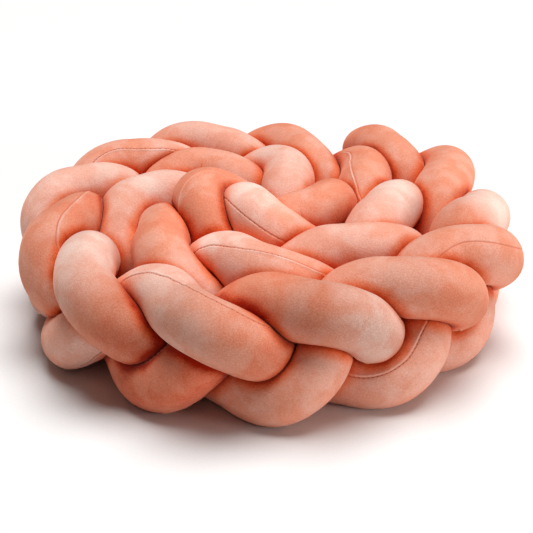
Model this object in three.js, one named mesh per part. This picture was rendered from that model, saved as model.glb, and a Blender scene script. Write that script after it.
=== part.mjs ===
// Braided crib bumper: three stuffed velvet tubes plaited into one long flat braid, which stands
// on its edge and lies wound up in a coil of almost three turns.
// Millimetres, +Z up. The origin is on the floor, under the middle of the coil.
import * as THREE from 'three';

// The stuffed tubes
const TUBE_RADIUS = 33; // where nothing presses on the tube
const PRESSED_SPACING = 51; // least distance between the middles of two tubes that press on each other
const FLOOR_SPACING = 28; // least height of a tube's middle, so its underside is pressed flat
const TUBE_GAP = 2.1; // left at each side of the face where two tubes meet, for their flat facets
const CONTACT_ROUNDING = 6; // how softly a tube turns from its round side into a pressed face
const INNER_BEND = 0.8; // share of its bend's radius that a tube may fill on the inside of the bend
const FREE_BEND = 150; // a tube doesn't press on itself nearer than this along its length

// The braid, stood on its edge. It has a loop at its top edge at each even loop number, and one at
// its bottom edge at each odd number, and the three tubes make them in turn.
const TUBE_COUNT = 3;
const BRAID_MIDDLE = 73.5; // height of the braid's middle
const BRAID_RISE = 41.5; // how far a tube's middle climbs above it and dips below it
const BRAID_SWING = 22; // how far a tube's middle swings out through the braid's faces
const FIRST_LOOP = -1.75;
const LAST_LOOP = 47;
const STEPS_PER_LOOP = 4;
const END_LOOPS = 3; // the ends are gathered over this many loops
const END_GATHER = 0.5; // share of the rise that is lost at the ends

// The coil: a row for each loop of the top edge, from the inner end at loop -2 to the outer end.
// azimuth counts on in degrees as the coil winds outwards, and radius is the braid's middle there.
// lift raises the loop, and lean tips the braid's top edge outwards.
const COIL_START = -2;
const COIL = [
  { azimuth: 100, radius: 42, lift: -25, lean: 0 },
  { azimuth: 177, radius: 62, lift: 22, lean: 0 },
  { azimuth: 254, radius: 44, lift: 25, lean: 0 },
  { azimuth: 358, radius: 63, lift: 0, lean: 0 },
  { azimuth: 437, radius: 121, lift: 0, lean: 6 },
  { azimuth: 477, radius: 150, lift: 0, lean: 6 },
  { azimuth: 523, radius: 152, lift: 0, lean: 6 },
  { azimuth: 571, radius: 141, lift: 0, lean: 6 },
  { azimuth: 624, radius: 142, lift: 0, lean: 6 },
  { azimuth: 675, radius: 136, lift: 5, lean: 6 },
  { azimuth: 719, radius: 138, lift: 0, lean: 6 },
  { azimuth: 762, radius: 173, lift: 0, lean: 6 },
  { azimuth: 798, radius: 204, lift: 0, lean: 6 },
  { azimuth: 829, radius: 227, lift: 0, lean: 6 },
  { azimuth: 856, radius: 227, lift: 4, lean: 6 },
  { azimuth: 883, radius: 231, lift: 0, lean: 6 },
  { azimuth: 910, radius: 227, lift: 4, lean: 6 },
  { azimuth: 936, radius: 236, lift: -6, lean: 6 },
  { azimuth: 969, radius: 235, lift: -8, lean: 9 },
  { azimuth: 998, radius: 238, lift: 0, lean: 7 },
  { azimuth: 1028, radius: 237, lift: 0, lean: 7 },
  { azimuth: 1053, radius: 231, lift: 6, lean: 11 },
  { azimuth: 1075, radius: 227, lift: 0, lean: 15 },
  { azimuth: 1106, radius: 250, lift: 0, lean: 8 },
  { azimuth: 1131, radius: 244, lift: 10, lean: 6 },
  { azimuth: 1157, radius: 240, lift: -20, lean: 6 },
];

// Where a tube lies otherwise than in an even braid: at which of its loop numbers, how far it is
// shifted forward along the braid, out and up, and over how many loops the shift fades.
const SHIFTS = [
  { tube: 0, loop: 0.8, forward: 0, out: -14, up: 0, fade: 0.5 },
  { tube: 0, loop: 11.7, forward: 0, out: -24, up: 6, fade: 0.4 },
  { tube: 0, loop: 17.2, forward: 0, out: 30, up: 0, fade: 0.55 },
  { tube: 0, loop: 18.6, forward: 0, out: -24, up: 5, fade: 0.5 },
  { tube: 0, loop: 23.8, forward: 0, out: 0, up: 5, fade: 0.3 },
  { tube: 0, loop: 30.8, forward: 0, out: -14, up: -9, fade: 0.6 },
  { tube: 0, loop: 36.5, forward: 0, out: 0, up: 12, fade: 0.5 },
  { tube: 0, loop: 37.2, forward: -36, out: 0, up: 30, fade: 0.5 },
  { tube: 0, loop: 41.2, forward: 0, out: 28, up: -4, fade: 0.55 },
  { tube: 1, loop: 3.5, forward: 0, out: -6, up: 0, fade: 0.6 },
  { tube: 1, loop: 33.7, forward: 0, out: 0, up: -8, fade: 0.4 },
  { tube: 1, loop: 35.2, forward: 0, out: 0, up: 8, fade: 0.5 },
  { tube: 1, loop: 39.3, forward: 0, out: 10, up: 0, fade: 0.5 },
  { tube: 1, loop: 46.1, forward: 0, out: 0, up: 6, fade: 0.3 },
  { tube: 2, loop: 1.5, forward: -18, out: 0, up: 4, fade: 0.7 },
  { tube: 2, loop: 2.8, forward: -6, out: 22, up: -22, fade: 0.5 },
  { tube: 2, loop: 31.3, forward: 0, out: 16, up: -3, fade: 0.5 },
  { tube: 2, loop: 38.2, forward: 0, out: 0, up: 6, fade: 0.5 },
  { tube: 2, loop: 42.7, forward: 0, out: -6, up: -4, fade: 0.5 },
];

// How the plaited tubes settle: each round pushes tubes that press on each other apart, evens out
// their bends and draws them back towards the plain braid.
const SETTLE_ROUNDS = 150;
const SETTLE_PUSH = 0.5;
const SETTLE_EVEN = 0.125;
const SETTLE_DRAW = 0.06;

// The solids
const TUBE_SIDES = 12;
const END_RING = 0.3; // share of the first and last step where an end has a ring of its own
const PRESS_SAMPLES = 4; // points on each step of a tube's middle that press on its neighbours
const PRESS_REACH = 4 * TUBE_RADIUS; // points further off than this don't press

const velvet = new THREE.MeshStandardMaterial({ color: 0xe08a6e, roughness: 0.95, metalness: 0 });

function smoothCurve(points) {
  return new THREE.CatmullRomCurve3(points, false, 'catmullrom', 0.5);
}

function smoothstep(share) {
  return THREE.MathUtils.smoothstep(share, 0, 1);
}

// The braid's middle, lift and lean along the coil
const coilCurve = smoothCurve(COIL.map(({ azimuth, radius, lift }) => {
  const angle = THREE.MathUtils.degToRad(azimuth);
  return new THREE.Vector3(radius * Math.cos(angle), radius * Math.sin(angle), lift);
}));

function coilAt(loop) {
  const row = (loop - COIL_START) / 2;
  const share = row / (COIL.length - 1);
  const middle = coilCurve.getPoint(share);
  const along = coilCurve.getTangent(share).setZ(0).normalize();
  const outward = new THREE.Vector3(along.y, -along.x, 0);
  const before = Math.min(Math.floor(row), COIL.length - 2);
  const lean = THREE.MathUtils.lerp(COIL[before].lean, COIL[before + 1].lean, row - before);
  return { middle, along, outward, lean };
}

// The middle line of one tube in the braid, before it settles
function plaitedLine(tube) {
  const steps = Math.round((LAST_LOOP - FIRST_LOOP) * STEPS_PER_LOOP);
  const points = [];
  for (let step = 0; step <= steps; step += 1) {
    const loop = FIRST_LOOP + step / STEPS_PER_LOOP;
    const { middle, along, outward, lean } = coilAt(loop);
    const turn = (Math.PI * (loop - tube)) / TUBE_COUNT + Math.PI * (tube % 2);
    const toEnd = Math.min(loop - FIRST_LOOP, LAST_LOOP - loop);
    const rise = BRAID_RISE * (1 - END_GATHER * smoothstep(1 - toEnd / END_LOOPS));
    const swing = BRAID_SWING * Math.sin(2 * turn) + lean * Math.cos(turn);
    const lift = middle.z * (0.5 + 0.5 * Math.cos(turn));
    const height = BRAID_MIDDLE + rise * Math.cos(turn) + lift;
    const place = middle.clone().setZ(0).addScaledVector(outward, swing).setZ(height);
    for (const shift of SHIFTS.filter((row) => row.tube === tube)) {
      const share = Math.exp(-(((loop - shift.loop) / shift.fade) ** 2));
      place.addScaledVector(along, share * shift.forward);
      place.addScaledVector(outward, share * shift.out);
      place.z += share * shift.up;
    }
    points.push(place);
  }
  return points;
}

function lengthsAlong(points) {
  const lengths = [0];
  for (let i = 1; i < points.length; i += 1) {
    lengths.push(lengths[i - 1] + points[i].distanceTo(points[i - 1]));
  }
  return lengths;
}

// Each tube is pushed away from its neighbours, by its deepest contacts most.
function pushApart(lines) {
  const knots = [];
  lines.forEach((points, tube) => {
    const lengths = lengthsAlong(points);
    points.forEach((place, i) => {
      knots.push({ tube, place, along: lengths[i], push: new THREE.Vector3(), weight: 0 });
    });
  });
  const offset = new THREE.Vector3();
  for (let a = 0; a < knots.length; a += 1) {
    for (let b = a + 1; b < knots.length; b += 1) {
      const first = knots[a];
      const second = knots[b];
      if (first.tube === second.tube && second.along - first.along < FREE_BEND) continue;
      offset.subVectors(first.place, second.place);
      const distance = offset.length();
      const overlap = PRESSED_SPACING - distance;
      if (overlap <= 0) continue;
      offset.multiplyScalar((overlap * overlap) / distance);
      first.push.add(offset);
      second.push.sub(offset);
      first.weight += overlap;
      second.weight += overlap;
    }
  }
  for (const { place, push, weight } of knots) {
    if (weight > 0) place.addScaledVector(push, SETTLE_PUSH / weight);
  }
}

function evenOut(points) {
  const bends = points.map((place, i) => {
    if (i === 0 || i === points.length - 1) return new THREE.Vector3();
    return points[i - 1].clone().add(points[i + 1]).addScaledVector(place, -2);
  });
  points.forEach((place, i) => place.addScaledVector(bends[i], SETTLE_EVEN));
}

function settledLines() {
  const plain = Array.from({ length: TUBE_COUNT }, (_, tube) => plaitedLine(tube));
  const lines = plain.map((points) => points.map((place) => place.clone()));
  for (let round = 0; round < SETTLE_ROUNDS; round += 1) {
    pushApart(lines);
    lines.forEach((points, tube) => {
      evenOut(points);
      points.forEach((place, i) => {
        place.lerp(plain[tube][i], SETTLE_DRAW);
        place.z = Math.max(place.z, FLOOR_SPACING);
      });
    });
  }
  return lines;
}

// The points of all the tubes' middles that press on a neighbour
function pressingPoints(lines) {
  return lines.flatMap((line, tube) => {
    const points = smoothCurve(line).getPoints((line.length - 1) * PRESS_SAMPLES);
    const lengths = lengthsAlong(points);
    return points.map((place, i) => ({ tube, place, along: lengths[i] }));
  });
}

function softMinimum(a, b, softness) {
  const share = THREE.MathUtils.clamp(0.5 + (0.5 * (b - a)) / softness, 0, 1);
  return b + (a - b) * share - softness * share * (1 - share);
}

// Axes at each inner point of a line, turned as little as possible from one to the next. bend points
// to the inside of the bend there, and its length is one over the bend's radius.
function carriedAxes(points) {
  let across = new THREE.Vector3(0, 0, 1);
  return points.slice(1, -1).map((place, i) => {
    const before = place.clone().sub(points[i]);
    const after = points[i + 2].clone().sub(place);
    const along = before.clone().add(after).normalize();
    across = across.clone().addScaledVector(along, -across.dot(along)).normalize();
    const aside = along.clone().cross(across);
    const step = (before.length() + after.length()) / 2;
    const bend = after.normalize().sub(before.normalize()).divideScalar(step);
    return { across, aside, bend };
  });
}

// How far a tube reaches from its middle in one direction: to its round side, to the face half way
// to a neighbour, into the crease inside a bend, or to the floor
function reachAlong(direction, place, bend, neighbours) {
  let pressed = 2 * TUBE_RADIUS;
  for (const offset of neighbours) {
    const towards = offset.dot(direction);
    if (towards > 0) pressed = Math.min(pressed, offset.lengthSq() / (2 * towards) - TUBE_GAP);
  }
  const inwards = bend.dot(direction);
  if (inwards > 0) pressed = Math.min(pressed, INNER_BEND / inwards);
  const round = softMinimum(TUBE_RADIUS, pressed, CONTACT_ROUNDING);
  const floor = direction.z < 0 ? place.z / -direction.z : Infinity;
  return { reach: Math.min(round, floor), onFloor: floor <= round };
}

// One ring of a tube's surface round a point of its middle
function ringAt(place, axes, neighbours, endShare) {
  const ring = [];
  for (let side = 0; side < TUBE_SIDES; side += 1) {
    const angle = (2 * Math.PI * side) / TUBE_SIDES;
    const direction = axes.across.clone().multiplyScalar(Math.cos(angle));
    direction.addScaledVector(axes.aside, Math.sin(angle));
    const { reach, onFloor } = reachAlong(direction, place, axes.bend, neighbours);
    const point = place.clone().addScaledVector(direction, reach * endShare);
    if (onFloor && endShare === 1) point.z = 0;
    ring.push(point);
  }
  return ring;
}

// A closed skin over the rings round a tube's middle, with a point at each end. Each four-sided
// patch is folded along the diagonal that lies deeper, so that it stays clear of the neighbours.
function closedSkin(rings, middles) {
  const points = [...rings.flat(), middles[0], middles[middles.length - 1]];
  const faces = [];
  const corner = (ring, side) => ring * TUBE_SIDES + (side % TUBE_SIDES);
  const end = rings.length - 1;
  const depth = (from, to, ring) => {
    const fold = points[from].clone().lerp(points[to], 0.5);
    return fold.distanceTo(middles[ring + 1].clone().lerp(middles[ring + 2], 0.5));
  };
  for (let side = 0; side < TUBE_SIDES; side += 1) {
    faces.push(points.length - 2, corner(0, side + 1), corner(0, side));
    for (let ring = 0; ring < end; ring += 1) {
      const [a, b] = [corner(ring, side), corner(ring, side + 1)];
      const [c, d] = [corner(ring + 1, side), corner(ring + 1, side + 1)];
      if (depth(a, d, ring) < depth(b, c, ring)) faces.push(a, b, d, a, d, c);
      else faces.push(a, b, c, b, d, c);
    }
    faces.push(points.length - 1, corner(end, side), corner(end, side + 1));
  }
  const skin = new THREE.BufferGeometry().setFromPoints(points);
  skin.setIndex(faces);
  skin.computeVertexNormals();
  return skin;
}

// The middle line, with a point added for the ring of each round end
function lineWithEnds(line) {
  const last = line.length - 1;
  const start = line[0].clone().lerp(line[1], END_RING);
  const finish = line[last].clone().lerp(line[last - 1], END_RING);
  return [line[0], start, ...line.slice(1, last), finish, line[last]];
}

function stuffedTube(tube, plainLine, pressing) {
  const line = lineWithEnds(plainLine);
  const lengths = lengthsAlong(line);
  const axes = carriedAxes(line);
  const last = line.length - 1;
  const rings = [];
  for (let i = 1; i < last; i += 1) {
    const neighbours = pressing
      .filter((other) => other.tube !== tube || Math.abs(other.along - lengths[i]) > FREE_BEND)
      .map((other) => other.place.clone().sub(line[i]))
      .filter((offset) => offset.length() < PRESS_REACH);
    const toEnd = Math.min(lengths[i], lengths[last] - lengths[i], TUBE_RADIUS);
    const endShare = Math.sqrt(1 - (1 - toEnd / TUBE_RADIUS) ** 2);
    rings.push(ringAt(line[i], axes[i - 1], neighbours, endShare));
  }
  return closedSkin(rings, line);
}

const bumper = new THREE.Group();
const lines = settledLines();
const pressing = pressingPoints(lines);
lines.forEach((line, tube) => {
  const mesh = new THREE.Mesh(stuffedTube(tube, line, pressing), velvet.clone());
  mesh.name = `tube_${tube + 1}`;
  bumper.add(mesh);
});

// The coil's box is centred over the origin.
const middle = new THREE.Box3().setFromObject(bumper).getCenter(new THREE.Vector3());
bumper.position.set(-middle.x, -middle.y, 0);

export default bumper;
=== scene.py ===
"""Braided crib bumper: three stuffed velvet tubes plaited into a long flat braid, coiled up on its edge.

Sizes are in millimetres, and in metres from the studio on. Meshes are written in metres, in the frame's
place.
"""
import math

import bpy
import numpy as np
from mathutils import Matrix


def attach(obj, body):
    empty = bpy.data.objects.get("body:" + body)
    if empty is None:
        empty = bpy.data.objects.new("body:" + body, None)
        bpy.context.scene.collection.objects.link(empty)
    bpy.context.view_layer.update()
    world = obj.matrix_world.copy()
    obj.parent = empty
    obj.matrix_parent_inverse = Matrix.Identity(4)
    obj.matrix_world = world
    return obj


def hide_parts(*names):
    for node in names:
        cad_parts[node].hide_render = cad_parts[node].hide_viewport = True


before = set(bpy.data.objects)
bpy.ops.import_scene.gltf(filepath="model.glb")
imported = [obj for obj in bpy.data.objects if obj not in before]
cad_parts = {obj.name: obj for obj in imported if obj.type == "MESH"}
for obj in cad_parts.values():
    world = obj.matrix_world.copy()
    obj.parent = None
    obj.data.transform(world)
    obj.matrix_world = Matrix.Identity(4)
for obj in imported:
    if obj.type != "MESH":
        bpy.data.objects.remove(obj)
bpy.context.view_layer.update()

MM = 0.001
IMAGE_PIXELS = 533
TINY = 1e-6  # keeps a division away from zero

# The stuffed tubes
TUBE_NAMES = ("tube_1", "tube_2", "tube_3")
TUBE_RADIUS = 33.0
PRESSED_SPACING = 51.0  # least distance between the middles of two tubes that press on each other
FLOOR_SPACING = 28.0  # least height of a tube's middle, so its underside is pressed flat
TUBE_GAP = 0.25  # left at each side of the face where two tubes meet
CONTACT_ROUNDING = 2.5  # how softly a tube turns from its round side into a pressed face
INNER_BEND = 0.8  # share of its bend's radius that a tube may fill on the inside of the bend
FREE_BEND = 150.0  # a tube doesn't press on itself nearer than this along its length

# The braid, stood on its edge: a loop at the top edge at each even loop number, one at the bottom
# edge at each odd number, and the three tubes make them in turn.
BRAID_MIDDLE = 73.5
BRAID_RISE = 41.5
BRAID_SWING = 22.0
FIRST_LOOP = -1.75
LAST_LOOP = 47.0
STEPS_PER_LOOP = 4
END_LOOPS = 3.0  # loops over which the braid gathers towards each end
END_GATHER = 0.5  # share of its rise that it has lost at the end itself

# The coil: a row for each loop of the top edge, from the inner end outwards
# azimuth in degrees, radius, lift of the loop, outward lean of the top edge
COIL_START = -2
COIL = (
    (100, 42, -25, 0),
    (177, 62, 22, 0),
    (254, 44, 25, 0),
    (358, 63, 0, 0),
    (437, 121, 0, 6),
    (477, 150, 0, 6),
    (523, 152, 0, 6),
    (571, 141, 0, 6),
    (624, 142, 0, 6),
    (675, 136, 5, 6),
    (719, 138, 0, 6),
    (762, 173, 0, 6),
    (798, 204, 0, 6),
    (829, 227, 0, 6),
    (856, 227, 4, 6),
    (883, 231, 0, 6),
    (910, 227, 4, 6),
    (936, 236, -6, 6),
    (969, 235, -8, 9),
    (998, 238, 0, 7),
    (1028, 237, 0, 7),
    (1053, 231, 6, 11),
    (1075, 227, 0, 15),
    (1106, 250, 0, 8),
    (1131, 244, 10, 6),
    (1157, 240, -20, 6),
)

# Where a tube lies otherwise than in an even braid: tube, loop number, shift along the braid, shift
# outwards, shift upwards, loops over which it fades
SHIFTS = (
    (0, 0.8, 0, -14, 0, 0.5),
    (0, 11.7, 0, -24, 6, 0.4),
    (0, 17.2, 0, 30, 0, 0.55),
    (0, 18.6, 0, -24, 5, 0.5),
    (0, 23.8, 0, 0, 5, 0.3),
    (0, 30.8, 0, -14, -9, 0.6),
    (0, 36.5, 0, 0, 12, 0.5),
    (0, 37.2, -36, 0, 30, 0.5),
    (0, 41.2, 0, 28, -4, 0.55),
    (1, 3.5, 0, -6, 0, 0.6),
    (1, 33.7, 0, 0, -8, 0.4),
    (1, 35.2, 0, 0, 8, 0.5),
    (1, 39.3, 0, 10, 0, 0.5),
    (1, 46.1, 0, 0, 6, 0.3),
    (2, 1.5, -18, 0, 4, 0.7),
    (2, 2.8, -6, 22, -22, 0.5),
    (2, 31.3, 0, 16, -3, 0.5),
    (2, 38.2, 0, 0, 6, 0.5),
    (2, 42.7, 0, -6, -4, 0.5),
)

# How the plaited tubes settle against each other
SETTLE_ROUNDS = 150
SETTLE_PUSH = 0.5  # share of an overlap by which a round moves each of the two tubes
SETTLE_EVEN = 0.125  # how much a round evens out the bends
SETTLE_DRAW = 0.06  # share of the way back to the plain braid that a round draws a tube
LEAST_OVERLAP = 1e-9

# The lengthwise seam of each tube: loop number, and the seam's angle in degrees from the tube's top
# towards the outside of the coil
SEAMS = (
    ((-2, -70), (-0.4, -64), (-0.1, -52), (0.05, -30), (0.15, -18), (0.26, -9), (0.35, 15),
     (0.45, 35), (0.55, 58), (0.8, 90), (1.2, 115), (2.5, 150), (6, 180), (24, 180), (27, 260),
     (28.5, 335), (29.2, 362), (29.6, 355), (29.9, 351), (30.2, 342), (30.45, 335), (30.65, 336),
     (30.85, 345), (31.1, 360), (31.5, 395), (32.2, 460), (33, 520), (36, 540), (47, 540)),
    ((-2, 180), (31, 180), (32.1, 150), (32.7, 75), (33, 34), (33.3, 31), (33.45, 27), (33.6, 19),
     (33.8, 8), (34, -2), (34.5, -5), (34.7, -3), (34.85, 4), (35, 16), (35.2, 30), (36, 45),
     (37, 62), (37.3, 60), (37.5, 55), (37.7, 47), (37.85, 38), (37.95, 29), (38.05, 18), (38.2, 6),
     (38.6, 8), (39, 36), (39.3, 49), (39.5, 47), (39.7, 43), (39.95, 39), (40.15, 41), (40.4, 53),
     (41, 75), (42.5, 140), (44, 180), (47, 180)),
    ((-2, 45), (1.2, 56), (1.7, 53), (2, 51), (2.2, 52), (2.35, 57), (2.55, 65), (2.8, 85),
     (3.4, 150), (5, 180), (9, 180), (11, 130), (12.3, 75), (12.9, 46), (13.3, 44), (13.5, 40),
     (13.7, 33), (13.9, 26), (14.1, 19), (14.3, 15), (14.5, 19), (14.7, 28), (14.9, 36), (15.6, 24),
     (17, -8), (19, -9), (19.3, -13), (19.5, -20), (19.75, -33), (20.5, -34), (22, -60), (24, -45),
     (25.4, -31), (25.7, -33), (26, -30), (26.3, -27), (26.6, -25), (27, -12), (28, 40), (29.5, 130),
     (31, 180), (47, 180)),
)

# The ridge that the seam's folded edge makes: loop number, and its height as a share, below 0 where it
# lies at the seam's side of smaller angle
RIDGES = (
    ((-2, -1.2), (24, -1), (28, -1.4), (33, -1), (47, -1)),
    ((-2, -1), (32, -0.5), (35, -0.5), (36, -1), (38.3, -1), (38.8, -0.15), (41, -0.15), (47, -1)),
    ((-2, 0.5), (1.9, 0.12), (2.5, 0.2), (3.2, 1), (5, 1), (12, 0.2), (13.9, 0.2), (14.3, 1.2),
     (15.5, 1.2), (18.5, -1.5), (21, -1.5), (24, -1.1), (47, -1)),
)

# The stretches of each tube where the folded edge covers the stitches: first and last loop number
COVERED_STITCHES = (
    ((-2, 1.5), (28, 31.6)),
    ((38.5, 42),),
    ((14.4, 22), (38, 39.8)),
)

# How the pile of each tube lies, with painted sheen and painted shade in it: loop number, and its nap
# from 0, lying flat and deep coral, to 1, brushed up and pale
NAPS_AND_PAINTED_LIGHT = (
    ((-2, 0.38), (-0.3, 0.38), (0.25, 0.32), (0.8, 0.38), (3, 0.25), (5.2, 0.65), (5.8, 0.65),
     (6.4, 0.82), (7, 0.52), (9, 0.25), (11.5, 0.46), (12.2, 0.28), (12.9, 0.6), (15, 0.2),
     (16.8, 0.15), (17.4, 0.72), (17.8, 0.88), (18.4, 0.92), (19, 0.5), (21, 0.3), (23.3, 0.6),
     (24.5, 0.56), (27, 0.2), (29.3, 0.2), (30, 0.35), (31, 0.4), (33, 0.06), (34.2, 0.08),
     (35.2, 0.12), (36, 0.3), (36.6, 0.4), (37.1, 0.76), (37.6, 0.7), (38.2, 0.48), (39, 0.55),
     (40, 0.6), (40.8, 0.0), (41.4, 0.3), (41.8, 0.95), (42.2, 1.0), (43, 0.6), (45, 0.3), (47, 0.3)),
    ((-2, 0.4), (1, 0.4), (3.5, 0.48), (4, 0.42), (4.5, 0.3), (7, 0.35), (9, 0.6), (9.8, 0.95),
     (10.4, 0.68), (11, 0.5), (13, 0.3), (15, 0.62), (16, 0.58), (19, 0.3), (21, 0.56), (22, 0.34),
     (25, 0.35), (27.3, 0.72), (28, 0.76), (29, 0.64), (31, 0.42), (31.8, 0.6), (33, 0.76),
     (33.8, 0.7), (34.5, 0.56), (35.1, 0.22), (36, 0.4), (37, 0.54), (38, 0.56), (40, 0.42),
     (43, 0.3), (45, 0.48), (45.6, 0.44), (46.5, 0.28), (47, 0.2)),
    ((-2, 0.5), (1, 0.92), (2, 0.84), (2.6, 0.45), (3.2, 0.15), (5, 0.3), (7, 0.62), (7.7, 0.44),
     (8.4, 0.25), (11, 0.3), (13.2, 0.95), (13.7, 0.7), (15, 0.3), (17, 0.25), (19.2, 0.42),
     (19.8, 0.32), (20.4, 0.32), (23, 0.35), (25.2, 0.7), (26, 0.42), (26.8, 0.44), (29, 0.32),
     (31, 0.85), (32, 0.92), (32.6, 0.58), (33.1, 0.12), (35, 0.4), (36.5, 0.5), (37.4, 0.52),
     (38, 0.46), (38.6, 0.24), (39.2, 0.3), (41, 0.3), (43.2, 0.42), (44, 0.36), (47, 0.25)),
)

# Painted shade along each tube, where less light falls on it: loop number, and how much darker it is
# painted, as a share that is below 0 for painted light, where it is painted brighter
PAINTED_SHADES = (
    ((-2, 0), (28, 0), (29.5, 0.1), (31.2, 0.1), (32, 0), (35.6, 0.02), (36.3, 0.26), (37.4, 0.3),
     (38.2, 0), (40.5, 0), (41, 0.2), (41.6, 0.1), (42, 0), (47, 0)),
    ((-2, 0), (33.6, 0), (34.2, 0.2), (35.2, 0.19), (36, 0), (38.5, 0), (39.5, 0.06), (40.8, 0.12),
     (41.5, 0), (47, 0)),
    ((-2, -0.1), (1.4, -0.12), (2.3, -0.12), (3, 0), (12.5, 0), (13.1, -0.12), (13.6, -0.1),
     (14.2, 0), (30, 0), (31, 0.1), (32, 0.1), (33.2, 0.23), (34, 0), (37, 0), (37.7, 0.1), (39, 0.2),
     (40, 0), (47, 0)),
)

PRESSED_NAP_AND_CREASE_SHADE = 0.6  # loss of nap where two tubes press the pile flat, which also paints shade into the crease
PRESSED_FULL = 29.0  # pile all flat, painted crease shade full, where a neighbour's face is this near to the tube's middle
PRESSED_NONE = 50.0  # and stands free, with no painted shade, where it is this far off
TABLE_ROUNDING = 0.16  # loops over which a value eases from one row of a table to the next
ROUNDING_SAMPLES = 9

# The cloth's mesh
SECTIONS_PER_STEP = 8
PLAIN_COLUMNS = 44  # columns of the mesh round a tube, apart from those at its seam
SEAM_COLUMNS = (0.7, 1.4, 2.1, 2.8, 3.8, 5.2)  # distances of the columns at each side of the seam
PLAIN_START = 1.6  # the plain columns start this many times as far from the seam as its last column
PRESS_SAMPLES = 4  # pressing points on a tube's middle line for each of its steps
PRESS_REACH = 4 * TUBE_RADIUS  # a neighbour farther off than this doesn't press

# The cloth's relief
SEAM_DEPTH = 0.6
SEAM_HALF_WIDTH = 0.7
RIDGE_HEIGHT = 0.7
RIDGE_PLACE = 2.2  # distance of the ridge from the seam
RIDGE_HALF_WIDTH = 1.2
RIDGE_NAP_AND_SHEEN = 0.25  # the pile stands up along the ridge, and the ridge is painted paler: painted sheen
SEAM_WANDER = 0.8  # how far the seam strays from its line
SEAM_WANDER_LENGTH = 23.0  # length of tube for each radian of that wave
PUCKER_PITCH = 17.0
PUCKER_DEPTH = 0.4
PUCKER_REACH = 9.0
PUCKER_DRIFT = 1.5  # the puckers come early or late by up to this many radians
PUCKER_DRIFT_LENGTH = 31.0  # length of tube for each radian of that wave
GATHER_PITCH = 190.0  # from one stretch that is gathered into puckers to the next
CREASE_PITCH = 11.0
CREASE_DEPTH = 0.6
CREASE_START = 0.35  # the tube's radius over the bend's radius, where the inside starts to crease
CREASE_EASE = 0.5  # and the rise of it over which the creases grow deep
RELIEF_NONE = 4.0  # no raised relief where a neighbour's face is this far inside the tube's round side
RELIEF_FADE = 10.0  # and all of it where that face is this much farther off
# Uneven stuffing: length of the wave along the tube, waves round the tube, height, start
STUFFING = (
    (210.0, 1, 0.45, 0.0),
    (131.0, 2, 0.35, 1.9),
    (83.0, -1, 0.3, 4.1),
    (57.0, 3, 0.2, 2.6),
    (41.0, -2, 0.15, 0.7),
)

# The seam's stitches
STITCH_PITCH = 4.6
STITCH_LENGTH = 2.6
STITCH_THICKNESS = 1.3  # real thread is thinner; drawn this thick so that it shows
STITCH_SINK = 0.55  # depth of a stitch's middle under the cloth's round surface
STITCH_SLANT = 25.0
STITCH_CLEARANCE = 3.0  # no stitch is drawn nearer to the floor than this, where the cloth hides it
STITCH_SIDES = 6


def smooth_curve(points, where):
    """Points on the curve through a row of points, where counts them from 0."""
    padded = np.vstack([2 * points[:1] - points[1:2], points, 2 * points[-1:] - points[-2:-1]])
    first = np.clip(np.floor(where).astype(int), 0, len(points) - 2)
    share = (where - first)[:, None]
    a, b, c, d = (padded[first + i] for i in range(4))
    square = 2 * a - 5 * b + 4 * c - d
    cube = 3 * b - a - 3 * c + d
    return 0.5 * (2 * b + (c - a) * share + square * share**2 + cube * share**3)


def smoothstep(share):
    share = np.clip(share, 0, 1)
    return share * share * (3 - 2 * share)


def soft_minimum(a, b, softness):
    share = np.clip(0.5 + 0.5 * (b - a) / softness, 0, 1)
    return b + (a - b) * share - softness * share * (1 - share)


def unit(vectors):
    return vectors / np.linalg.norm(vectors, axis=-1, keepdims=True)


def lengths_along(points):
    steps = np.linalg.norm(np.diff(points, axis=0), axis=1)
    return np.concatenate([[0], np.cumsum(steps)])


def eased(rows, where):
    """Values of a table's second column at loop numbers, with its corners rounded off."""
    places, values = np.array(rows, float).T
    around = np.linspace(-TABLE_ROUNDING, TABLE_ROUNDING, ROUNDING_SAMPLES)
    return np.mean([np.interp(where + shift, places, values) for shift in around], axis=0)


# The braid
LOOPS = np.arange(FIRST_LOOP, LAST_LOOP + 0.5 / STEPS_PER_LOOP, 1 / STEPS_PER_LOOP)


def plaited_lines():
    """The middle lines of the tubes as plaited, with their shifts, before they settle."""
    coil = np.array(COIL, float)
    angle = np.radians(coil[:, 0])
    course = np.stack([coil[:, 1] * np.cos(angle), coil[:, 1] * np.sin(angle), coil[:, 2]], axis=1)
    rows = (LOOPS - COIL_START) / 2
    nudge = 0.001
    middle = smooth_curve(course, rows)
    along = smooth_curve(course, rows + nudge) - smooth_curve(course, rows - nudge)
    along = unit(along * (1, 1, 0))
    outward = np.stack([along[:, 1], -along[:, 0]], axis=1)
    lean = np.interp(rows, np.arange(len(coil)), coil[:, 3])
    to_end = np.minimum(LOOPS - FIRST_LOOP, LAST_LOOP - LOOPS)
    rise = BRAID_RISE * (1 - END_GATHER * smoothstep(1 - to_end / END_LOOPS))
    lines = []
    for tube in range(len(TUBE_NAMES)):
        turn = math.pi * (LOOPS - tube) / len(TUBE_NAMES) + math.pi * (tube % 2)
        swing = BRAID_SWING * np.sin(2 * turn) + lean * np.cos(turn)
        lift = middle[:, 2] * (0.5 + 0.5 * np.cos(turn))
        height = BRAID_MIDDLE + rise * np.cos(turn) + lift
        line = np.column_stack([middle[:, :2] + outward * swing[:, None], height])
        for shifted, loop, forward, out, up, fade in SHIFTS:
            if shifted == tube:
                share = np.exp(-(((LOOPS - loop) / fade) ** 2))[:, None]
                line[:, :2] += share * (forward * along[:, :2] + out * outward)
                line[:, 2:] += share * up
        lines.append(line)
    return np.array(lines)


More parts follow.
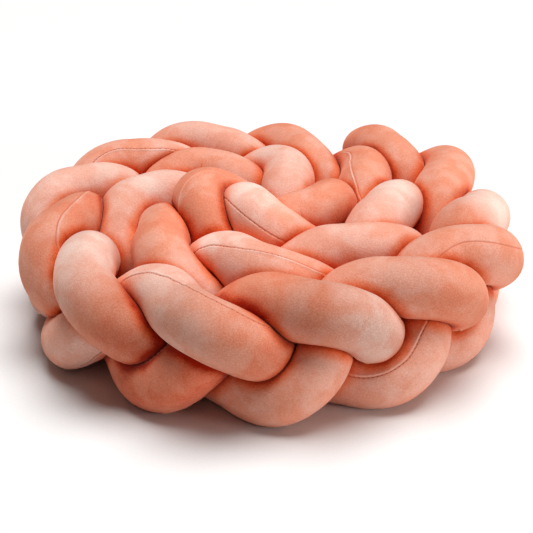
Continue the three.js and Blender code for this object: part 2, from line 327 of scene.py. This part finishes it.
def settled_lines():
    """The middle lines once the tubes have pushed each other apart."""
    plain = plaited_lines()
    tubes, count, _ = plain.shape
    lines = plain.copy()
    tube = np.repeat(np.arange(tubes), count)
    for _ in range(SETTLE_ROUNDS):
        along = np.concatenate([lengths_along(line) for line in lines])
        near_self = (tube[:, None] == tube) & (np.abs(along[:, None] - along) < FREE_BEND)
        points = lines.reshape(-1, 3)
        distance = np.linalg.norm(points[:, None] - points, axis=2)
        overlap = np.where(near_self, 0, np.maximum(PRESSED_SPACING - distance, 0))
        pull = overlap**2 / np.maximum(distance, TINY)
        push = pull.sum(1)[:, None] * points - pull @ points
        weight = np.maximum(overlap.sum(1), LEAST_OVERLAP)
        lines = (points + SETTLE_PUSH * push / weight[:, None]).reshape(plain.shape)
        bends = lines[:, 2:] + lines[:, :-2] - 2 * lines[:, 1:-1]
        lines[:, 1:-1] += SETTLE_EVEN * bends
        lines += SETTLE_DRAW * (plain - lines)
        lines[..., 2] = np.maximum(lines[..., 2], FLOOR_SPACING)
    return lines


# The cloth of one tube
def ring_angles():
    """Angles of the mesh's columns round a tube, counted from the seam."""
    seam = np.array(SEAM_COLUMNS) / TUBE_RADIUS
    start = PLAIN_START * seam[-1]
    plain = np.linspace(start, 2 * math.pi - start, PLAIN_COLUMNS)
    return np.concatenate([[0], seam, plain, 2 * math.pi - seam[::-1]])


class Tube:
    """One tube's middle line and the axes and angles of its cloth, finely divided."""

    def __init__(self, index, lines):
        self.index = index
        steps = lines.shape[1] - 1
        where = np.linspace(0, steps, steps * SECTIONS_PER_STEP + 1)
        self.middle = smooth_curve(lines[index], where)
        self.loops = FIRST_LOOP + where / STEPS_PER_LOOP
        self.along = lengths_along(self.middle)
        tangent = unit(np.gradient(self.middle, axis=0))
        up = unit(np.array([0, 0, 1.0]) - tangent * tangent[:, 2:])
        side = np.cross(tangent, up)
        wander = SEAM_WANDER / TUBE_RADIUS * np.sin(self.along / SEAM_WANDER_LENGTH + index)
        self.seam = np.radians(eased(SEAMS[index], self.loops)) + wander
        self.angles = ring_angles()
        nearer_way = np.where(self.angles < math.pi, self.angles, self.angles - 2 * math.pi)
        self.from_seam = nearer_way * TUBE_RADIUS
        height = eased(RIDGES[index], self.loops)[:, None]
        from_ridge = self.from_seam - RIDGE_PLACE * np.sign(height)
        self.ridge = np.abs(height) * np.exp(-((from_ridge / RIDGE_HALF_WIDTH) ** 2))
        turned = self.seam[:, None] + self.angles
        upwards = np.cos(turned)[..., None] * up[:, None]
        self.directions = upwards + np.sin(turned)[..., None] * side[:, None]
        self.tangent = tangent
        self.bend = np.gradient(tangent, axis=0) / np.gradient(self.along)[:, None]
        to_end = np.minimum(self.along, self.along[-1] - self.along)
        self.end_share = np.sqrt(1 - (1 - np.minimum(to_end / TUBE_RADIUS, 1)) ** 2)


def pressing_points(lines):
    """Points along the middle lines, each with its length from the start and from the nearer end."""
    steps = lines.shape[1] - 1
    where = np.linspace(0, steps, steps * PRESS_SAMPLES + 1)
    pressing = []
    for line in lines:
        points = smooth_curve(line, where)
        along = lengths_along(points)
        pressing.append((points, along, np.minimum(along, along[-1] - along)))
    return pressing


def pressed_reach(tube, pressing):
    """How far the cloth may reach in each direction before it meets a neighbour or its own crease.

    Also gives that reach with the neighbours' round ends left out, and the bend towards each direction.
    """
    inwards = np.einsum("sad,sd->sa", tube.directions, tube.bend)
    reach = INNER_BEND / np.maximum(inwards, TINY)
    touched = reach.copy()
    for section, place in enumerate(tube.middle):
        offsets, from_ends = [], []
        for other, (points, along, from_end) in enumerate(pressing):
            offset = points - place
            near = (offset**2).sum(1) < PRESS_REACH**2
            if other == tube.index:
                near &= np.abs(along - tube.along[section]) > FREE_BEND
            offsets.append(offset[near])
            from_ends.append(from_end[near])
        offset = np.concatenate(offsets)
        towards = np.maximum(tube.directions[section] @ offset.T, TINY)
        half = (offset**2).sum(1) / (2 * towards) - TUBE_GAP
        full_width = np.concatenate(from_ends) > TUBE_RADIUS
        reach[section] = np.minimum(reach[section], half.min(1, initial=np.inf))
        touched[section] = np.minimum(touched[section], half[:, full_width].min(1, initial=np.inf))
    return reach, touched, inwards


def cloth_relief(tube, inwards):
    """Height of the cloth's seam, puckers, creases and uneven stuffing over the plain tube."""
    along = tube.along[:, None]
    stuffing = sum(
        height * np.sin(2 * math.pi * along / wave + rounds * tube.angles + start + tube.index)
        for wave, rounds, height, start in STUFFING
    )
    groove = -SEAM_DEPTH * np.exp(-((tube.from_seam / SEAM_HALF_WIDTH) ** 2))
    gathered = 0.5 + 0.5 * np.sin(2 * math.pi * along / GATHER_PITCH + tube.index)
    drift = PUCKER_DRIFT * np.sin(along / PUCKER_DRIFT_LENGTH)
    pucker = np.sin(2 * math.pi * along / PUCKER_PITCH + drift)
    puckers = PUCKER_DEPTH * gathered * pucker * np.exp(-((tube.from_seam / PUCKER_REACH) ** 2))
    tightness = smoothstep((inwards * TUBE_RADIUS - CREASE_START) / CREASE_EASE)
    creases = -CREASE_DEPTH * tightness * (0.5 + 0.5 * np.sin(2 * math.pi * along / CREASE_PITCH))
    return stuffing + groove + RIDGE_HEIGHT * tube.ridge + puckers + creases


def cloth_points(tube, pressing):
    """Points of the cloth, a ring for each section, and how hard the neighbours press on it there."""
    pressed, touched, inwards = pressed_reach(tube, pressing)
    freedom = smoothstep((pressed - TUBE_RADIUS + RELIEF_NONE) / RELIEF_FADE)
    relief = cloth_relief(tube, inwards)
    relief = np.where(relief > 0, relief * freedom, relief)
    reach = soft_minimum(TUBE_RADIUS, pressed, CONTACT_ROUNDING) + relief
    down = np.maximum(-tube.directions[..., 2], TINY)
    reach = np.minimum(reach, tube.middle[:, None, 2] / down)
    points = tube.middle[:, None] + tube.directions * (reach * tube.end_share[:, None])[..., None]
    # How hard the neighbours press: it flattens the pile and sets the painted shade in the creases
    firmness = 1 - smoothstep((touched - PRESSED_FULL) / (PRESSED_NONE - PRESSED_FULL))
    return points, firmness * tube.end_share[:, None]


def place_in_scene(name, data):
    thing = bpy.data.objects.new(name, data)
    bpy.context.scene.collection.objects.link(thing)
    return thing


def new_piece(name, points, faces, material):
    mesh = bpy.data.meshes.new(name)
    mesh.from_pydata((points * MM).tolist(), (), faces)
    mesh.polygons.foreach_set("use_smooth", [True] * len(mesh.polygons))
    mesh.materials.append(material)
    mesh.update()
    return place_in_scene(name, mesh)


def add_values(piece, name, values):
    layer = piece.data.attributes.new(name, "FLOAT", "POINT")
    layer.data.foreach_set("value", values.astype(np.float32))


def stuffed_tube(tube, points, pressed, material):
    """The cloth of a tube as a closed mesh, whose points hold its nap, painted shade, pressure and seam."""
    rings = points[1:-1]
    count, columns, _ = rings.shape
    ring = np.arange(count - 1)[:, None] * columns
    column = np.arange(columns)
    following = (column + 1) % columns
    ahead = ring + columns
    quads = np.stack([ring + column, ring + following, ahead + following, ahead + column], -1)
    start, finish = count * columns, count * columns + 1
    last = (count - 1) * columns
    caps = [(start, following[i], column[i]) for i in column]
    caps += [(finish, last + column[i], last + following[i]) for i in column]
    faces = quads.reshape(-1, 4).tolist() + [[int(corner) for corner in cap] for cap in caps]
    tips = tube.middle[[0, -1]]
    corners = np.vstack([rings.reshape(-1, 3), tips])
    piece = new_piece(f"velvet_{TUBE_NAMES[tube.index]}", corners, faces, material)
    # The nap along each tube holds the pile's own lie, with painted sheen and painted shade in it
    nap = eased(NAPS_AND_PAINTED_LIGHT[tube.index], tube.loops)[:, None]
    # Along the ridge the nap rises: painted sheen on the raised edge
    # Where tubes press together the nap falls: pile pressed flat, and painted shade in the creases
    nap = nap + RIDGE_NAP_AND_SHEEN * tube.ridge - PRESSED_NAP_AND_CREASE_SHADE * pressed
    seam = np.broadcast_to(np.exp(-((tube.from_seam / SEAM_HALF_WIDTH) ** 2)), nap.shape)
    # Painted shade for each section, and painted light where it is below 0
    shade = np.broadcast_to(eased(PAINTED_SHADES[tube.index], tube.loops)[:, None], nap.shape)
    values = {"nap": nap, "shade": shade, "pressed": pressed, "seam": seam}
    for name, value in values.items():
        flat = value[1:-1].reshape(-1)
        add_values(piece, name, np.concatenate([flat, flat[[0, -1]]]))
    return piece


def stitches(tube, points, material):
    """The stitches in a tube's seam: small slanted spindles of thread, all in one mesh."""
    clear_end = 2 * TUBE_RADIUS
    marks = np.arange(clear_end, tube.along[-1] - clear_end, STITCH_PITCH)
    seam_line = points[:, 0]
    heights = np.interp(marks, tube.along, seam_line[:, 2])
    marks = marks[heights > STITCH_CLEARANCE]
    loops = np.interp(marks, tube.along, tube.loops)
    covered = [(loops > first) & (loops < last) for first, last in COVERED_STITCHES[tube.index]]
    marks = marks[~np.any(covered, axis=0)]
    place = np.stack([np.interp(marks, tube.along, seam_line[:, i]) for i in range(3)], axis=1)
    axis = unit(np.stack([np.interp(marks, tube.along, tube.tangent[:, i]) for i in range(3)], axis=1))
    outward = np.stack([np.interp(marks, tube.along, tube.directions[:, 0, i]) for i in range(3)], axis=1)
    outward = unit(outward - axis * (axis * outward).sum(1)[:, None])
    across = np.cross(axis, outward)
    slant = math.radians(STITCH_SLANT)
    lie = axis * math.cos(slant) + across * math.sin(slant)
    width = np.cross(outward, lie)
    place = place + outward * (SEAM_DEPTH - STITCH_SINK)
    turns = 2 * math.pi * np.arange(STITCH_SIDES) / STITCH_SIDES
    ring = np.cos(turns)[:, None, None] * outward + np.sin(turns)[:, None, None] * width
    ring = place + ring * STITCH_THICKNESS / 2
    ends = np.stack([place - lie * STITCH_LENGTH / 2, place + lie * STITCH_LENGTH / 2])
    corners = np.concatenate([ring, ends]).transpose(1, 0, 2)
    faces = []
    for stitch in range(len(marks)):
        first = stitch * (STITCH_SIDES + 2)
        for side in range(STITCH_SIDES):
            here, there = first + side, first + (side + 1) % STITCH_SIDES
            faces.append((first + STITCH_SIDES, here, there))
            faces.append((first + STITCH_SIDES + 1, there, here))
    return new_piece(f"stitches_{TUBE_NAMES[tube.index]}", corners.reshape(-1, 3), faces, material)


# Materials
def linear(hex_colour):
    """An sRGB hex colour as linear red, green, blue and alpha."""
    parts = [int(hex_colour[i : i + 2], 16) / 255 for i in (1, 3, 5)]
    return [p / 12.92 if p <= 0.04045 else ((p + 0.055) / 1.055) ** 2.4 for p in parts] + [1]


def add_node(material, kind, links=None, **settings):
    """Adds a node, sets its own settings or its sockets by name, and links sockets to it."""
    tree = material.node_tree
    node = tree.nodes.new(kind)
    for name, value in settings.items():
        if hasattr(node, name):
            setattr(node, name, value)
        else:
            node.inputs[name.replace("_", " ")].default_value = value
    for name, source in (links or {}).items():
        tree.links.new(source, node.inputs[name])
    return node


def new_material(name):
    material = bpy.data.materials.new(name)
    material.use_nodes = True
    material.node_tree.nodes.clear()
    return material


BRUSHED_PATCH = 34.0  # size of the patches that a hand has brushed one way
PATCH_EDGES = (0.36, 0.64)  # values of the noise between which one patch turns into the next
PATCH_NAP = 0.22  # how much the nap differs between patches
BRUSHED_STREAK = 11.0
STREAK_NAP = 0.15
PILE_GRAIN = 1.7  # the real pile is finer; drawn this coarse so that its grain shows
GRAIN_NAP = 0.28
NOISE_MIDDLE = 0.5
PILE_DEPTH = 0.5
TUFT_GAP_SHADE = 0.42  # painted shade in the gaps between the pile's tufts: how much darker they are
CREASE_SHADE_SATURATION = 0.1  # how much fuller the colour is where the pile is pressed flat: painted shade in the creases
DEEPEST_NAP = 0.3  # how far the nap falls below 0 where the pile is pressed flat, into the painted crease shade
# The nap's colours, from the deepest, painted shade of the pressed creases, to the pale brushed-up pile
NAP_COLOURS = (
    (-DEEPEST_NAP, "#b03528"),
    (0.0, "#df7151"),
    (0.3, "#e79173"),
    (0.65, "#edb19d"),
    (1.0, "#f4d3c5"),
)
SEAM_COLOUR = "#d5775b"
THREAD_TWIST = 0.8  # length of one turn of the thread's twist
BOARD_TOOTH = 4.0  # the real board is finer; drawn this coarse so that it shows


def cotton_velvet():
    """Short-pile velvet: matt with a soft warm sheen, paler where brushed up; its colour holds painted sheen
    and shade.
    """
    material = new_material("coral_cotton_velvet")
    place = add_node(material, "ShaderNodeTexCoord").outputs["Object"]
    nap = add_node(material, "ShaderNodeAttribute", attribute_name="nap").outputs["Fac"]
    seam = add_node(material, "ShaderNodeAttribute", attribute_name="seam").outputs["Fac"]
    noise = add_node(material, "ShaderNodeTexNoise", {"Vector": place}, Scale=1 / (BRUSHED_PATCH * MM),
                     Detail=2.5, Roughness=0.55, Distortion=0.4).outputs["Fac"]
    streaks = add_node(material, "ShaderNodeTexNoise", {"Vector": place}, Scale=1 / (BRUSHED_STREAK * MM),
                       Detail=3.0, Roughness=0.6, Distortion=0.8).outputs["Fac"]
    grain = add_node(material, "ShaderNodeTexNoise", {"Vector": place}, Scale=1 / (PILE_GRAIN * MM),
                     Detail=2.0, Roughness=0.7).outputs["Fac"]
    patches = add_node(material, "ShaderNodeMapRange", {"Value": noise}, interpolation_type="SMOOTHSTEP",
                       From_Min=PATCH_EDGES[0], From_Max=PATCH_EDGES[1]).outputs["Result"]
    for pattern, strength in ((patches, PATCH_NAP), (streaks, STREAK_NAP), (grain, GRAIN_NAP)):
        around = add_node(material, "ShaderNodeMath", {0: pattern}, operation="SUBTRACT").outputs[0]
        around.node.inputs[1].default_value = NOISE_MIDDLE
        nap = add_node(material, "ShaderNodeMath", {0: around, 2: nap}, operation="MULTIPLY_ADD").outputs[0]
        nap.node.inputs[1].default_value = strength
    shifted = add_node(material, "ShaderNodeMath", {0: nap}, operation="MULTIPLY_ADD")
    shifted.inputs[1].default_value = 1 / (1 + DEEPEST_NAP)
    shifted.inputs[2].default_value = DEEPEST_NAP / (1 + DEEPEST_NAP)
    ramp = add_node(material, "ShaderNodeValToRGB", {"Fac": shifted.outputs[0]})
    elements = ramp.color_ramp.elements
    for _ in NAP_COLOURS[2:]:
        elements.new(0.5)
    for element, (pile, colour) in zip(elements, NAP_COLOURS):
        element.position = (pile + DEEPEST_NAP) / (1 + DEEPEST_NAP)
        element.color = linear(colour)
    sewn = add_node(material, "ShaderNodeMix", {"Factor": seam, "A": ramp.outputs["Color"]}, data_type="RGBA")
    sewn.inputs["B"].default_value = linear(SEAM_COLOUR)
    bump = add_node(material, "ShaderNodeBump", {"Height": grain}, Strength=0.8, Distance=PILE_DEPTH * MM)
    normal = bump.outputs["Normal"]
    surface = add_node(material, "ShaderNodeBsdfPrincipled", {"Normal": normal}, Roughness=0.9)
    # Painted shade darkens the colour, and painted light brightens it where the share is below 0
    shade = add_node(material, "ShaderNodeAttribute", attribute_name="shade").outputs["Fac"]
    # Painted shade in the gaps of the pile, darker where the grain is low
    tufts = add_node(material, "ShaderNodeMath", {0: grain}, operation="MULTIPLY_ADD")
    tufts.inputs[1].default_value = TUFT_GAP_SHADE
    tufts.inputs[2].default_value = 1 - TUFT_GAP_SHADE / 2
    brightness = add_node(material, "ShaderNodeMath", {0: tufts.outputs[0], 1: shade}, operation="SUBTRACT")
    # Fuller colour where the tubes press together: painted shade in the creases
    pressed = add_node(material, "ShaderNodeAttribute", attribute_name="pressed").outputs["Fac"]
    crease_shade_saturation = add_node(material, "ShaderNodeMath", {0: pressed}, operation="MULTIPLY_ADD")
    crease_shade_saturation.inputs[1].default_value = CREASE_SHADE_SATURATION
    crease_shade_saturation.inputs[2].default_value = 1.0
    shaded = add_node(material, "ShaderNodeHueSaturation", {
        "Color": sewn.outputs["Result"],
        "Saturation": crease_shade_saturation.outputs[0],
        "Value": brightness.outputs[0],
    })
    material.node_tree.links.new(shaded.outputs["Color"], surface.inputs["Base Color"])
    surface.inputs["Specular IOR Level"].default_value = 0.05
    surface.inputs["Sheen Weight"].default_value = 0.5
    surface.inputs["Sheen Roughness"].default_value = 0.5
    surface.inputs["Sheen Tint"].default_value = linear("#ffb89c")
    add_node(material, "ShaderNodeOutputMaterial", {"Surface": surface.outputs["BSDF"]})
    return material


def polyester_thread():
    """Sewing thread, deeper than the velvet with painted shade of its holes, a faint gloss along its twist.
    """
    material = new_material("coral_thread_with_painted_hole_shade")
    place = add_node(material, "ShaderNodeTexCoord").outputs["Object"]
    twist = add_node(material, "ShaderNodeTexNoise", {"Vector": place}, Scale=1 / (THREAD_TWIST * MM),
                     Detail=1.0)
    ramp = add_node(material, "ShaderNodeValToRGB", {"Fac": twist.outputs["Fac"]})
    # Dark thread: partly its own colour, partly painted shade of the holes it is sewn through
    ramp.color_ramp.elements[0].color = linear("#7c3020")
    ramp.color_ramp.elements[1].color = linear("#a34a33")
    colour = ramp.outputs["Color"]
    surface = add_node(material, "ShaderNodeBsdfPrincipled", {"Base Color": colour}, Roughness=0.55)
    add_node(material, "ShaderNodeOutputMaterial", {"Surface": surface.outputs["BSDF"]})
    return material


def pale_floor():
    """White studio board: matt and even, so that only the soft shadow shows on it."""
    material = new_material("white_studio_board")
    place = add_node(material, "ShaderNodeTexCoord").outputs["Object"]
    tooth = add_node(material, "ShaderNodeTexNoise", {"Vector": place}, Scale=1 / (BOARD_TOOTH * MM),
                     Detail=2.0)
    ramp = add_node(material, "ShaderNodeValToRGB", {"Fac": tooth.outputs["Fac"]})
    ramp.color_ramp.elements[0].color = linear("#e7e6e5")
    ramp.color_ramp.elements[1].color = linear("#ecebea")
    colour = ramp.outputs["Color"]
    surface = add_node(material, "ShaderNodeBsdfPrincipled", {"Base Color": colour}, Roughness=0.9)
    add_node(material, "ShaderNodeOutputMaterial", {"Surface": surface.outputs["BSDF"]})
    return material


# The bumper
lines = settled_lines()
pressing = pressing_points(lines)
tubes = [Tube(index, lines) for index in range(len(TUBE_NAMES))]
clothes = [cloth_points(tube, pressing) for tube in tubes]
every_point = np.concatenate([points.reshape(-1, 3) for points, _ in clothes])
coil_middle = (every_point.min(0) + every_point.max(0)) / 2 * (1, 1, 0)

velvet = cotton_velvet()
thread = polyester_thread()
for tube, (points, pressed) in zip(tubes, clothes):
    tube.middle = tube.middle - coil_middle
    node = TUBE_NAMES[tube.index]
    cloth = stuffed_tube(tube, points - coil_middle, pressed, velvet)
    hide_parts(node)
    sewing = stitches(tube, points - coil_middle, thread)
    for piece in (cloth, sewing):
        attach(piece, "root")


# The studio, in metres and degrees
FLOOR_SIZE = 60.0
RIGHT_LIGHT_PLACE = (1.9, -1.0, 0.4)
RIGHT_LIGHT_AIM = (0.0, 0.0, 0.08)
RIGHT_LIGHT_SIZE = 0.9
RIGHT_LIGHT_WATTS = 16
RIGHT_LIGHT_COLOUR = "#fffdfb"
OVERHEAD_STRENGTH = 3.8
OVERHEAD_SPREAD = 45
OVERHEAD_TILT = (-10, 8)
SKY_STRENGTH = 0.06
SKY_COLOUR = "#ffffff"

half = FLOOR_SIZE / 2
floor_mesh = bpy.data.meshes.new("studio_floor")
floor_corners = [(-half, -half, 0), (half, -half, 0), (half, half, 0), (-half, half, 0)]
floor_mesh.from_pydata(floor_corners, (), [(0, 1, 2, 3)])
floor_mesh.materials.append(pale_floor())
floor = place_in_scene("studio_floor", floor_mesh)

right_lamp = bpy.data.lights.new("right_light", "AREA")
right_lamp.shape = "DISK"
right_lamp.size = RIGHT_LIGHT_SIZE
right_lamp.energy = RIGHT_LIGHT_WATTS
right_lamp.color = linear(RIGHT_LIGHT_COLOUR)[:3]
right_light = place_in_scene("right_light", right_lamp)
right_light.location = RIGHT_LIGHT_PLACE
towards = np.array(RIGHT_LIGHT_AIM) - np.array(RIGHT_LIGHT_PLACE)
light_pitch = math.atan2(math.hypot(towards[0], towards[1]), -towards[2])
right_light.rotation_euler = (light_pitch, 0, math.atan2(-towards[0], towards[1]))

overhead_lamp = bpy.data.lights.new("overhead_light", "SUN")
overhead_lamp.angle = math.radians(OVERHEAD_SPREAD)
overhead_lamp.energy = OVERHEAD_STRENGTH
overhead_light = place_in_scene("overhead_light", overhead_lamp)
overhead_light.rotation_euler = (math.radians(OVERHEAD_TILT[0]), math.radians(OVERHEAD_TILT[1]), 0)

world = bpy.data.worlds.new("white_studio")
world.use_nodes = True
sky = world.node_tree.nodes["Background"]
sky.inputs["Color"].default_value = linear(SKY_COLOUR)
sky.inputs["Strength"].default_value = SKY_STRENGTH
bpy.context.scene.world = world

# The camera: it looks down at the point AIM_HEIGHT above the spiral's own middle, which lies at
# AIM_PIXEL in the picture.
CAMERA_DISTANCE = 1.488
CAMERA_ELEVATION = 22.5
CAMERA_PIXELS = 1275.0  # the focal length in pixels of the picture
AIM_HEIGHT = 0.162
AIM_PIXEL = (264.5, 183.0)
SENSOR = 36.0  # in millimetres, as the lens is

camera_data = bpy.data.cameras.new("camera")
camera_data.sensor_width = SENSOR
camera_data.lens = SENSOR * CAMERA_PIXELS / IMAGE_PIXELS
camera = place_in_scene("camera", camera_data)
elevation = math.radians(CAMERA_ELEVATION)
spiral_middle = -coil_middle * MM
camera.location = (
    spiral_middle[0],
    spiral_middle[1] - CAMERA_DISTANCE * math.cos(elevation),
    AIM_HEIGHT + CAMERA_DISTANCE * math.sin(elevation),
)
pitch = elevation + math.atan2(IMAGE_PIXELS / 2 - AIM_PIXEL[1], CAMERA_PIXELS)
yaw = math.atan2(AIM_PIXEL[0] - IMAGE_PIXELS / 2, CAMERA_PIXELS)
camera.rotation_euler = (math.pi / 2 - pitch, 0, yaw)
bpy.context.scene.camera = camera
bpy.context.scene.view_settings.view_transform = "Standard"
